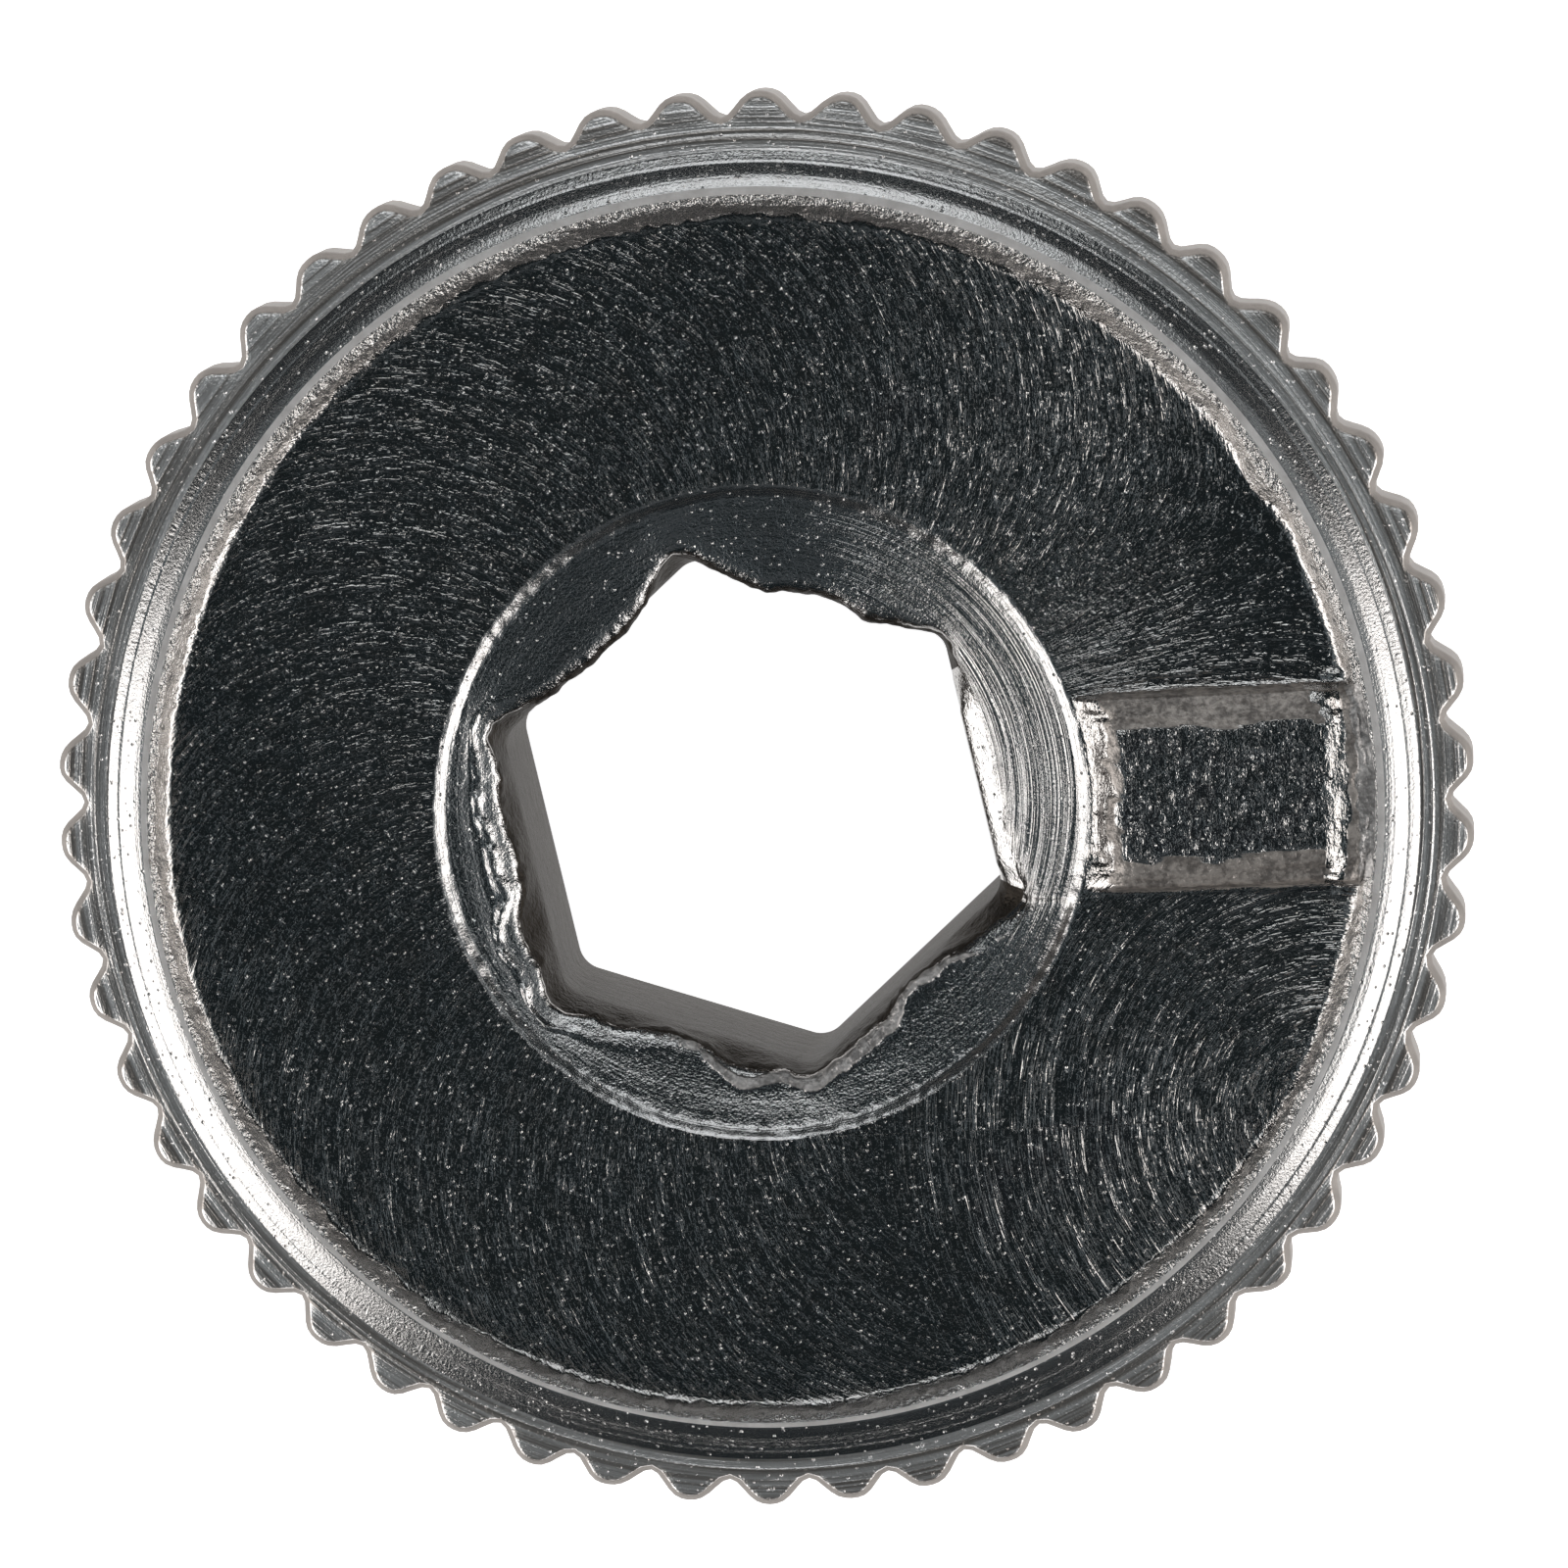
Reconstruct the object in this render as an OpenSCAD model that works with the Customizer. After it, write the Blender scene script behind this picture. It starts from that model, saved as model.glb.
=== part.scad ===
// Cam follower: a one-piece steel disc with a serrated rim, a hex drive hole, and on its front
// face a raised ring around a sunken cam track that one square-sided lug crosses.
// The origin is the centre of the back face. The front face looks along +Z, the lug along +X.

/* [Serrated flange] */
// Diameter over the tooth crests
tip_d = 20; // [19.8:0.1:21]
// Number of teeth around the rim
tooth_count = 54; // [52:1:56]
// Radius of one rounded tooth crest
crest_r = 0.61; // [0.6:0.01:0.66]
// Height of a tooth over the root circle
tooth_h = 0.33; // [0.28:0.01:0.34]
// Thickness of the flange that carries the teeth
flange_t = 1.8; // [1.2:0.1:3]
// Bevel along the crests, front and back
rim_bevel = 0.12; // [0.05:0.01:0.2]

/* [Raised ring and track] */
// Diameter of the foot of the ring's outer slope
slope_d = 18.48; // [18.2:0.02:18.8]
// Outer diameter of the ring's flat crest
ring_d = 17.72; // [17.6:0.02:18]
// Inner diameter of the ring's flat crest
ring_bore_d = 17.5; // [17.3:0.02:17.54]
// Outer diameter of the track floor
track_d = 16.9; // [16.5:0.02:17.1]
// Height of the ring over the flange face
ring_h = 0.4; // [0.2:0.05:0.8]
// Depth of the track floor below the ring's crest
track_depth = 0.6; // [0.4:0.05:0.8]

/* [Lug] */
// Width of the lug, side to side
lug_w = 2.84; // [2:0.02:3.6]
// Radius at which the lug starts
lug_start_r = 4.78; // [4.7:0.02:5.4]
// Height of the lug over the track floor
lug_h = 0.52; // [0.3:0.02:0.6]
// Bevel along the lug's top edges
lug_bevel = 0.16; // [0.05:0.01:0.25]

/* [Hub] */
// Diameter at which the countersink around the drive hole starts
sink_d = 9.28; // [9:0.02:9.36]
// Depth of the countersink
sink_depth = 0.35; // [0.2:0.05:0.5]
// Width across the flats of the drive hole
hex_flats = 6.47; // [6.3:0.01:6.6]
// Diameter over the drive hole's rounded corners
hex_corner_d = 7.34; // [7.3:0.01:7.4]
// Turn of the drive hole's flats from the lug
hex_turn = 11; // [0:1:59]
// Diameter of the boss behind the flange
boss_d = 14.4; // [12:0.1:16]
// Length of the boss
boss_h = 4.2; // [2:0.1:8]
// Bevel at the boss's end and at the back mouth of the drive hole
back_bevel = 0.4; // [0.2:0.05:0.6]

/* [Hidden] */
$fn = 96;
steel = "#4b5052";
cut_over = 1;

tip_r = tip_d / 2;
root_r = tip_r - tooth_h;
crest_centre_r = tip_r - crest_r;
face_z = boss_h + flange_t;
ring_z = face_z + ring_h;
track_z = ring_z - track_depth;
sink_z = track_z - sink_depth;
boss_r = boss_d / 2;
hex_corner_r = hex_corner_d / 2;
lug_end_r = track_d / 2 + (ring_bore_d - track_d) / 4;

// Half section of the turned blank, from its axis out to the tooth crests.
module blank_outline() {
    polygon([
        [0, 0],
        [boss_r - back_bevel, 0],
        [boss_r, back_bevel],
        [boss_r, boss_h],
        [tip_r - rim_bevel, boss_h],
        [tip_r, boss_h + rim_bevel],
        [tip_r, face_z - rim_bevel],
        [tip_r - rim_bevel, face_z],
        [slope_d / 2, face_z],
        [ring_d / 2, ring_z],
        [ring_bore_d / 2, ring_z],
        [track_d / 2, track_z],
        [sink_d / 2, track_z],
        [hex_corner_r, sink_z],
        [0, sink_z],
    ]);
}

// A bar whose cross section is the serrated rim: a round core with a rounded rib for each tooth.
module serrated_bar() {
    cylinder(h = ring_z, r = root_r);
    for (i = [0 : tooth_count - 1])
        rotate(i * 360 / tooth_count)
            translate([crest_centre_r, 0, 0])
                cylinder(h = ring_z, r = crest_r, $fn = 32);
}

// The lug: a square-sided bar across the track, whose inner end follows the countersink.
module lug() {
    half_w = lug_w / 2;
    difference() {
        rotate([90, 0, 90])
            linear_extrude(lug_end_r)
                polygon([
                    [-half_w, sink_z],
                    [half_w, sink_z],
                    [half_w, track_z + lug_h - lug_bevel],
                    [half_w - lug_bevel, track_z + lug_h],
                    [lug_bevel - half_w, track_z + lug_h],
                    [-half_w, track_z + lug_h - lug_bevel],
                ]);
        cylinder(h = ring_z + cut_over, r = lug_start_r);
    }
}

// The drive hole: a through hexagon with its corners relieved, opening out at the back.
module drive_hole() {
    translate([0, 0, -cut_over])
        intersection() {
            rotate(hex_turn + 30)
                cylinder(h = ring_z + 2 * cut_over, r = hex_flats / 2 / cos(30), $fn = 6);
            cylinder(h = ring_z + 2 * cut_over, r = hex_corner_r);
        }
    translate([0, 0, -cut_over])
        cylinder(h = cut_over + back_bevel, r1 = hex_flats / 2 + back_bevel + cut_over, r2 = hex_flats / 2);
}

module follower_disc() {
    color(steel)
        difference() {
            union() {
                intersection() {
                    serrated_bar();
                    rotate_extrude()
                        blank_outline();
                }
                lug();
            }
            drive_hole();
        }
}

follower_disc();
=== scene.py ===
"""Visual model of a cam follower: one plated steel disc with a serrated rim and a hex drive hole.

The disc is turned as one closed lathe section spun about its axis. The teeth, the hexagon, the lug
and the marks of the press are then formed in the blank, and each kind of surface gets its finish.
"""

import logging
import math
from dataclasses import dataclass, field
from enum import Enum

import bpy
import numpy as np
from mathutils import Matrix, Vector, noise


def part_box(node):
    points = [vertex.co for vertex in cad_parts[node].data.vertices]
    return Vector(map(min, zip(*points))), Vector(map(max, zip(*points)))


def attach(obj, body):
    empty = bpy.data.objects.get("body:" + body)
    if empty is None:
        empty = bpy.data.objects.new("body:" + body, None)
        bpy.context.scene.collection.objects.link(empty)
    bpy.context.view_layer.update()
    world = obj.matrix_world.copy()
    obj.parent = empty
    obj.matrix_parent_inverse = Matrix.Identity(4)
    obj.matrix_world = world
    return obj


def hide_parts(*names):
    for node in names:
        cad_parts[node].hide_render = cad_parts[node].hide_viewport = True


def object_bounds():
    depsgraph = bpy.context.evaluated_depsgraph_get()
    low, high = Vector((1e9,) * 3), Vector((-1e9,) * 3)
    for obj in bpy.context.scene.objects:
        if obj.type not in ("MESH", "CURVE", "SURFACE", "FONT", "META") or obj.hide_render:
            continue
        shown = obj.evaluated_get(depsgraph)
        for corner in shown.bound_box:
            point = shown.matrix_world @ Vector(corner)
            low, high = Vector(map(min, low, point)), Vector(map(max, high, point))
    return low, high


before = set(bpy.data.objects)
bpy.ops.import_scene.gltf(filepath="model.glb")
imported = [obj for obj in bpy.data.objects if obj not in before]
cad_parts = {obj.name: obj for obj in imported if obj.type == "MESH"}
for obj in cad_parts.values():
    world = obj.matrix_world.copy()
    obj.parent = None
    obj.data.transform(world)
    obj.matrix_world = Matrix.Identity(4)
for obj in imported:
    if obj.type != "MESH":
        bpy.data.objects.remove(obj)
cad_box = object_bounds()

MM = 0.001
LOG = logging.getLogger("cam_follower")
DISC_NODE = "follower_disc"


class Surface(Enum):
    """The kinds of surface on the disc; each value is its material slot's place."""

    TURNED = 0
    MILLED = 1
    PRESSED = 2
    SERRATED = 3
    PUNCHED = 4
    SUNK = 5
    FACED = 6
    CREST_PAINTED_SHEEN = 7
    # The ring's crest: a pale, nearly matt colour painted on as its highlight (painted sheen).
    BACKED = 8


@dataclass(frozen=True)
class Corner:
    """One corner of the lathe section.

    radius and height place it, in millimetres. soft is how far from the corner its rounding starts.
    arc and run are the numbers of steps round the corner and along the straight after it. hexed,
    toothed, lugged and runout say how far, from 0 to 1, the ring there takes the hexagon's outline,
    the teeth's outline, the lug's column spacing and the turned centre's offset. surface is the
    kind of the surface that follows.
    """

    radius: float
    height: float
    soft: float
    arc: int
    run: int
    surface: Surface
    hexed: float = 0.0
    toothed: float = 0.0
    lugged: float = 0.0
    runout: float = 0.0

    def values(self) -> np.ndarray:
        """Returns the corner's blended values as one row."""
        return np.array([self.radius, self.height, self.hexed, self.toothed, self.lugged, self.runout])


@dataclass(frozen=True)
class Bump:
    """A local swelling or nick: its angle and spread in degrees, and its size in millimetres."""

    angle: float
    spread: float
    size: float

    def at(self, angles: np.ndarray) -> np.ndarray:
        """Returns the swelling at each angle, given in radians."""
        away = (np.degrees(angles) - self.angle + 180.0) % 360.0 - 180.0
        return self.size * np.exp(-((away / self.spread) ** 2))


def smooth(values: np.ndarray, low: float, high: float) -> np.ndarray:
    """Eases from 0 to 1 as values go from low to high.

    Args:
        values: the values to ease.
        low: the value at which the result is 0.
        high: the value at which the result is 1; it may be below low.

    Returns:
        The eased values.
    """
    share = np.clip((values - low) / (high - low), 0.0, 1.0)
    return share * share * (3.0 - 2.0 * share)


def soft_max(first: np.ndarray, second: np.ndarray, blend: float) -> np.ndarray:
    """Returns the larger of two heights, rounded where they meet over about blend millimetres."""
    return 0.5 * (first + second + np.sqrt((first - second) ** 2 + blend * blend))


def grain(points: np.ndarray, scale: float, seed: float) -> np.ndarray:
    """Samples smooth noise at many points.

    Args:
        points: an array of rows of x, y, z, in millimetres.
        scale: waves per millimetre.
        seed: an offset that picks another pattern.

    Returns:
        One value from about -1 to 1 for each row.
    """
    offset = Vector((seed, seed * 1.7, seed * 0.6))
    rows = [noise.noise(Vector(p) * scale + offset) for p in points.reshape(-1, 3)]
    return np.array(rows).reshape(points.shape[:-1])


@dataclass
class Serration:
    """The outline of the toothed rim.

    tip_radius comes from the frame. swing and narrow are the tooth wave's first two terms: the
    second one broadens the crests and narrows the roots.
    """

    tip_radius: float
    count: int = 54
    turn: float = 1.1
    swing: float = 0.178
    narrow: float = 0.027
    uneven_tip: float = 0.03
    uneven_turn: float = 0.22
    deepest_inset: float = 0.45
    seed: int = 7

    def outline(self, angles: np.ndarray) -> np.ndarray:
        """Finds the rim's outline.

        Args:
            angles: the angle of each column, in radians.

        Returns:
            One row of x, y for each column, in millimetres.
        """
        draw = np.random.default_rng(self.seed)
        pitch = math.tau / self.count
        places = (angles - math.radians(self.turn)) / pitch
        tooth = np.round(places).astype(int) % self.count
        root = np.floor(places).astype(int) % self.count
        tip_drop = draw.uniform(0.0, self.uneven_tip, self.count)[tooth]
        root_rise = draw.uniform(-self.uneven_tip, self.uneven_tip, self.count)[root]
        lean = np.radians(draw.uniform(-self.uneven_turn, self.uneven_turn, self.count))[tooth]
        crest = 0.5 + 0.5 * np.cos((angles - math.radians(self.turn)) * self.count)
        wave = (angles - math.radians(self.turn) - lean * crest) * self.count
        middle = self.tip_radius - self.swing + self.narrow
        radii = middle + self.swing * np.cos(wave) - self.narrow * np.cos(2.0 * wave)
        radii += root_rise * (1.0 - crest) ** 2 - tip_drop * crest**2
        return np.stack([radii * np.cos(angles), radii * np.sin(angles)], axis=-1)

    def inset(self, outline: np.ndarray, depths: np.ndarray) -> np.ndarray:
        """Moves the outline inwards, square to itself.

        Past deepest_inset the outline would cross itself at the rounded crests, so it stops there.

        Args:
            outline: rows of x, y, one for each column.
            depths: how far to move, one value for each ring.

        Returns:
            Rows of x, y for each ring and column.
        """
        along = np.roll(outline, -1, axis=0) - np.roll(outline, 1, axis=0)
        along /= np.linalg.norm(along, axis=1, keepdims=True)
        inward = np.stack([-along[:, 1], along[:, 0]], axis=-1)
        reach = np.minimum(depths, self.deepest_inset)
        return outline[None, :, :] + reach[:, None, None] * inward[None, :, :]


@dataclass
class DriveHole:
    """The punched hexagonal hole, whose front edge is torn.

    tears pull the front edge back from the hexagon. Round the shallow stretch the tear reaches less
    deep by shallow_rise times the bump, and its edge is planed to a lip.
    """

    flats: float = 6.41
    offset: tuple[float, float] = (-0.16, -0.05)
    turn: float = 11.0
    corner_round: float = 0.40
    tears: tuple[Bump, ...] = (
        Bump(131.0, 22.0, -0.11),
        Bump(22.0, 14.0, 0.26),
        Bump(0.0, 14.0, 0.25),
        Bump(-19.0, 9.0, 0.30),
        Bump(86.0, 8.0, -0.13),
        Bump(69.0, 5.0, 0.04),
        Bump(56.0, 8.0, -0.11),
        Bump(106.0, 6.0, 0.26),
        Bump(158.0, 7.0, 0.22),
        Bump(176.0, 8.0, 0.18),
        Bump(190.0, 7.0, 0.10),
        Bump(205.0, 8.0, 0.30),
        Bump(221.0, 8.0, 0.22),
        Bump(236.0, 8.0, 0.12),
        Bump(265.0, 9.0, 0.20),
        Bump(281.0, 7.0, 0.08),
        Bump(298.0, 8.0, 0.14),
        Bump(328.0, 8.0, 0.18),
    )
    shallow: Bump = Bump(5.0, 30.0, 0.68)
    shallow_rise: float = 1.4
    tear_depth: float = 0.9

    def radius(self, angles: np.ndarray) -> np.ndarray:
        """Returns the hexagon's radius at each angle, with its corners rounded."""
        sixth = math.radians(60.0)
        apothem = self.flats / 2.0
        away = (angles - math.radians(self.turn) + sixth / 2.0) % sixth - sixth / 2.0
        flat = apothem / np.cos(away)
        centre = (apothem - self.corner_round) / math.cos(sixth / 2.0)
        from_corner = sixth / 2.0 - np.abs(away)
        sideways = centre * np.sin(from_corner)
        inside = np.clip(self.corner_round**2 - sideways**2, 0.0, None)
        rounded = centre * np.cos(from_corner) + np.sqrt(inside)
        on_round = from_corner < math.atan2(
            self.corner_round * math.sin(sixth / 2.0),
            centre + self.corner_round * math.cos(sixth / 2.0),
        )
        return np.where(on_round, rounded, flat)

    def tear(self, angles: np.ndarray) -> np.ndarray:
        """Returns how far the front edge is pulled back from the hexagon, at each angle."""
        return sum(tear.at(angles) for tear in self.tears)

    def depth(self, angles: np.ndarray) -> np.ndarray:
        """Returns how far below the front edge the tear reaches, at each angle."""
        rise = np.minimum(self.shallow_rise * self.shallow.at(angles), self.shallow.size)
        return self.tear_depth - rise


@dataclass
class Lug:
    """The square-sided lug that crosses the track along +X, pillowed on top.

    middle is how far its middle lies off the X axis. columns and offsets say how many mesh columns
    from the X axis lie at which distance from it, so that columns run along the lug's sides.
    """

    half_width: float = 1.38
    middle: float = 0.09
    start: float = 4.72
    edge_height: float = 0.34
    top_height: float = 0.46
    pillow: float = 0.50
    wall: float = 0.05
    columns: tuple[int, ...] = (0, 14, 23, 28, 36)
    offsets: tuple[float, ...] = (0.0, 0.98, 1.38, 1.49, 1.85)

    def spread_columns(self, angles: np.ndarray, radii: np.ndarray, step: float) -> np.ndarray:
        """Moves the mesh columns near the lug so that they run along its sides.

        Args:
            angles: the even angle of each column, from -pi to pi.
            radii: the radius of each ring.
            step: the even angle between columns.

        Returns:
            The angle of each column on each ring.
        """
        index = np.abs(angles) / step
        last = self.columns[-1]
        settle = 3.0 * last
        inner = np.maximum(radii, self.start)[:, None]
        lateral = np.interp(index, self.columns, self.offsets)
        near = np.arcsin(lateral[None, :] / inner)
        edge = np.arcsin(self.offsets[-1] / inner)
        share = (index[None, :] - last) / (settle - last)
        far = edge + share * (settle * step - edge)
        turned = np.where(index <= last, near, np.where(index <= settle, far, index * step))
        return np.sign(angles)[None, :] * turned

    def depth_inside(self, across: np.ndarray, radii: np.ndarray) -> np.ndarray:
        """Returns how far inside the lug's outline each point is, below 0 outside it."""
        return np.minimum(self.half_width - np.abs(across), radii - self.start)

    def height(self, depth: np.ndarray) -> np.ndarray:
        """Returns the lug's height over the track for each depth inside its outline."""
        wall = -0.08 + (self.edge_height + 0.08) * smooth(depth, -self.wall, self.wall)
        return wall + (self.top_height - self.edge_height) * smooth(depth, 0.0, self.pillow)


@dataclass
class FollowerDisc:
    """The whole disc, as one closed mesh.

    Heights are over the back face and all sizes are in millimetres. tip_radius and thickness come
    from the frame.
    """

    tip_radius: float
    thickness: float
    columns: int = 648
    boss_radius: float = 7.2
    boss_height: float = 4.2
    face_height: float = 6.0
    track_drop: float = 0.6
    sink_drop: float = 0.25
    sink_radius: float = 4.62
    track_radius: float = 8.43
    bore_radius: float = 8.645
    crest_radius: float = 8.73
    groove_radius: float = 9.07
    slope_radius: float = 9.24
    bevel: float = 0.095
    bevel_drop: float = 0.18
    runout: tuple[float, float] = (-0.07, -0.19)
    chips: tuple[Bump, ...] = (Bump(26.0, 2.0, 0.05), Bump(32.0, 3.0, -0.09), Bump(39.0, 2.0, 0.04))
    hole: DriveHole = field(default_factory=DriveHole)
    lug: Lug = field(default_factory=Lug)

    def section(self) -> list[Corner]:
        """Returns the lathe section's corners, from the hole's front edge outwards and round the back."""
        apothem = self.hole.flats / 2.0
        crest = self.thickness
        track = crest - self.track_drop
        sink = track - self.sink_drop
        rim = self.tip_radius
        face = self.face_height
        turned, pressed, milled = Surface.TURNED, Surface.PRESSED, Surface.MILLED
        faced, serrated, backed, punched = Surface.FACED, Surface.SERRATED, Surface.BACKED, Surface.PUNCHED
        return [
            Corner(apothem, sink, 0.26, 8, 12, Surface.SUNK, hexed=1, lugged=1, runout=1),
            Corner(self.sink_radius - 0.15, track - 0.105, 0.05, 4, 2, turned, lugged=1, runout=1),
            Corner(self.sink_radius, track, 0.06, 5, 4, milled, lugged=1, runout=1),
            Corner(self.sink_radius + 0.6, track, 0.02, 1, 9, milled, lugged=1, runout=1),
            Corner(self.track_radius - 0.6, track, 0.02, 1, 5, milled, lugged=1, runout=1),
            Corner(self.track_radius, track, 0.12, 5, 3, pressed, lugged=1, runout=1),
            Corner(self.bore_radius - 0.10, crest - 0.07, 0.03, 3, 2, pressed, lugged=0.8, runout=0.75),
            # From here the crest takes the painted sheen, a pale colour standing in for its highlight.
            Corner(self.bore_radius, crest, 0.04, 3, 1, Surface.CREST_PAINTED_SHEEN, lugged=0.7, runout=0.6),
            Corner(self.crest_radius, crest, 0.05, 3, 1, turned, lugged=0.5, runout=0.45),
            Corner(self.crest_radius + 0.18, crest - 0.072, 0.08, 4, 1, turned, lugged=0.4, runout=0.42),
            Corner(self.groove_radius, face + 0.20, 0.015, 2, 1, turned, lugged=0.15, runout=0.4),
            Corner(self.groove_radius + 0.035, face + 0.19, 0.015, 2, 1, turned, lugged=0.1, runout=0.4),
            Corner(self.slope_radius, face + 0.10, 0.012, 2, 2, faced, runout=0.4),
            Corner(self.slope_radius + 0.18, face + 0.102, 0.01, 2, 1, faced, runout=0.4),
            Corner(self.slope_radius + 0.21, face + 0.092, 0.01, 2, 4, faced, runout=0.4),
            Corner(rim - self.bevel, face + 0.07, 0.04, 3, 3, serrated, toothed=1),
            Corner(rim, face + 0.07 - self.bevel_drop, 0.05, 3, 3, serrated, toothed=1),
            Corner(rim, self.boss_height + self.bevel, 0.05, 3, 2, serrated, toothed=1),
            Corner(rim - self.bevel, self.boss_height, 0.04, 3, 2, backed, toothed=1),
            Corner(self.boss_radius, self.boss_height, 0.25, 5, 2, backed),
            Corner(self.boss_radius, 0.4, 0.06, 3, 1, backed),
            Corner(self.boss_radius - 0.4, 0.0, 0.06, 3, 3, backed),
            Corner(apothem + 0.45, 0.0, 0.06, 3, 2, punched, hexed=0.5, lugged=1, runout=1),
            Corner(apothem, 0.45, 0.10, 3, 3, punched, hexed=1, lugged=1, runout=1),
            Corner(apothem, sink - 1.1, 0.05, 2, 4, punched, hexed=1, lugged=1, runout=1),
        ]

    def stations(self) -> tuple[np.ndarray, list[Surface]]:
        """Rounds the section's corners and divides its straights.

        Returns:
            One row of blended values for each ring of the mesh, and the surface after each ring.
        """
        corners = self.section()
        rows: list[np.ndarray] = []
        kinds: list[Surface] = []
        for place, corner in enumerate(corners):
            here = corner.values()
            before = self._towards(here, corners[place - 1].values(), corner.soft)
            after = self._towards(here, corners[(place + 1) % len(corners)].values(), corner.soft)
            for step in range(corner.arc + 1):
                share = step / corner.arc
                rows.append((1 - share) ** 2 * before + 2 * share * (1 - share) * here + share**2 * after)
                kinds.append(corner.surface if share >= 0.5 else corners[place - 1].surface)
            following = corners[(place + 1) % len(corners)]
            arrive = self._towards(following.values(), here, following.soft)
            for step in range(1, corner.run):
                rows.append(after + (arrive - after) * step / corner.run)
                kinds.append(corner.surface)
        return np.array(rows), kinds

    @staticmethod
    def _towards(start: np.ndarray, end: np.ndarray, distance: float) -> np.ndarray:
        """Returns the values at a distance from one corner towards another."""
        return start + (end - start) * min(0.49, distance / max(np.linalg.norm((end - start)[:2]), 1e-6))

    def turn_blank(self, rows: np.ndarray) -> bpy.types.Object:
        """Spins the section into a closed ring of quads.

        Args:
            rows: the blended values of each ring.

        Returns:
            The blank, whose vertices carry their ring's number.
        """
        bpy.ops.object.select_all(action="DESELECT")
        bpy.ops.mesh.primitive_plane_add(size=MM, location=(rows[0][0] * MM, 0.0, rows[0][1] * MM))
        blank = bpy.context.object
        blank.name = "disc"
        bpy.ops.object.transform_apply(location=True, rotation=True, scale=True)
        bpy.ops.object.mode_set(mode="EDIT")
        bpy.ops.mesh.select_all(action="SELECT")
        bpy.ops.mesh.merge(type="CENTER")
        for start, end in zip(rows[:-1], rows[1:]):
            step = ((end[0] - start[0]) * MM, 0.0, (end[1] - start[1]) * MM)
            bpy.ops.mesh.extrude_region_move(TRANSFORM_OT_translate={"value": step})
        bpy.ops.mesh.select_all(action="SELECT")
        bpy.ops.mesh.edge_face_add()
        bpy.ops.mesh.delete(type="ONLY_FACE")
        bpy.ops.object.mode_set(mode="OBJECT")
        self._number_rings(blank, rows)
        bpy.ops.object.mode_set(mode="EDIT")
        bpy.ops.mesh.select_all(action="SELECT")
        bpy.ops.mesh.spin(steps=self.columns, angle=math.tau, center=(0, 0, 0), axis=(0, 0, 1))
        bpy.ops.mesh.select_all(action="SELECT")
        bpy.ops.mesh.remove_doubles(threshold=1e-7)
        bpy.ops.mesh.normals_make_consistent(inside=False)
        bpy.ops.object.mode_set(mode="OBJECT")
        return blank

    @staticmethod
    def _number_rings(blank: bpy.types.Object, rows: np.ndarray) -> None:
        """Stores each section vertex's place along the section."""
        ring = blank.data.attributes.new("ring", "INT", "POINT")
        places = np.array([v.co for v in blank.data.vertices]) / MM
        gaps = np.linalg.norm(places[:, None, (0, 2)] - rows[None, :, :2], axis=2)
        ring.data.foreach_set("value", np.argmin(gaps, axis=1).astype(np.int32))

    @staticmethod
    def _rings(mesh: bpy.types.Mesh) -> np.ndarray:
        """Returns each vertex's ring number."""
        ring = np.zeros(len(mesh.vertices), np.int32)
        mesh.attributes["ring"].data.foreach_get("value", ring)
        return ring

    def form(self, rows: np.ndarray) -> tuple[np.ndarray, np.ndarray]:
        """Works out where each ring and column ends up, with the teeth, hexagon and lug formed.

        Args:
            rows: the blended values of each ring.

        Returns:
            The places, as rings by columns by x, y, z, in millimetres, and the frosting, as rings
            by columns, which is 1 where the press left a rough skin.
        """
        radius, height, hexed, toothed, lugged, runout = rows.T
        step = math.tau / self.columns
        even = np.arange(self.columns) * step
        signed = (even + math.pi) % math.tau - math.pi
        spread = self.lug.spread_columns(signed, radius, step)
        angles = signed[None, :] + lugged[:, None] * (spread - signed[None, :])
        radii = radius[:, None] + hexed[:, None] * (self.hole.radius(angles) - self.hole.flats / 2.0)
        round_xy = np.stack([radii * np.cos(angles), radii * np.sin(angles)], axis=-1)
        teeth = Serration(self.tip_radius)
        toothed_xy = teeth.inset(teeth.outline(signed), np.maximum(self.tip_radius - radius, 0.0))
        share = toothed[:, None, None]
        flat_xy = round_xy * (1.0 - share) + toothed_xy * share
        places = np.dstack([flat_xy, np.repeat(height[:, None], self.columns, axis=1)])
        frosting = self._form_face(places, rows, angles)
        bored = smooth(radius, self.sink_radius - 0.3, self.hole.flats / 2.0 + 0.5)
        for axis in (0, 1):
            places[..., axis] += (runout * self.runout[axis] + bored * self.hole.offset[axis])[:, None]
        return places, frosting

    def _form_face(self, places: np.ndarray, rows: np.ndarray, angles: np.ndarray) -> np.ndarray:
        """Raises the lug and presses the marks into the front face, in place.

        Args:
            places: rings by columns by x, y, z, in millimetres, changed in place.
            rows: the blended values of each ring.
            angles: the angle of each column on each ring.

        Returns:
            The frosting, as rings by columns.
        """
        nominal, height, hexed = rows[:, 0:1], rows[:, 1:2], rows[:, 2:3]
        track = self.thickness - self.track_drop
        front = (height > track - self.sink_drop - 1.2).astype(float)
        radii = np.hypot(places[..., 0], places[..., 1])
        coarse = grain(places, 2.2, 3.0)
        fine = grain(places, 7.5, 11.0)

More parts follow.
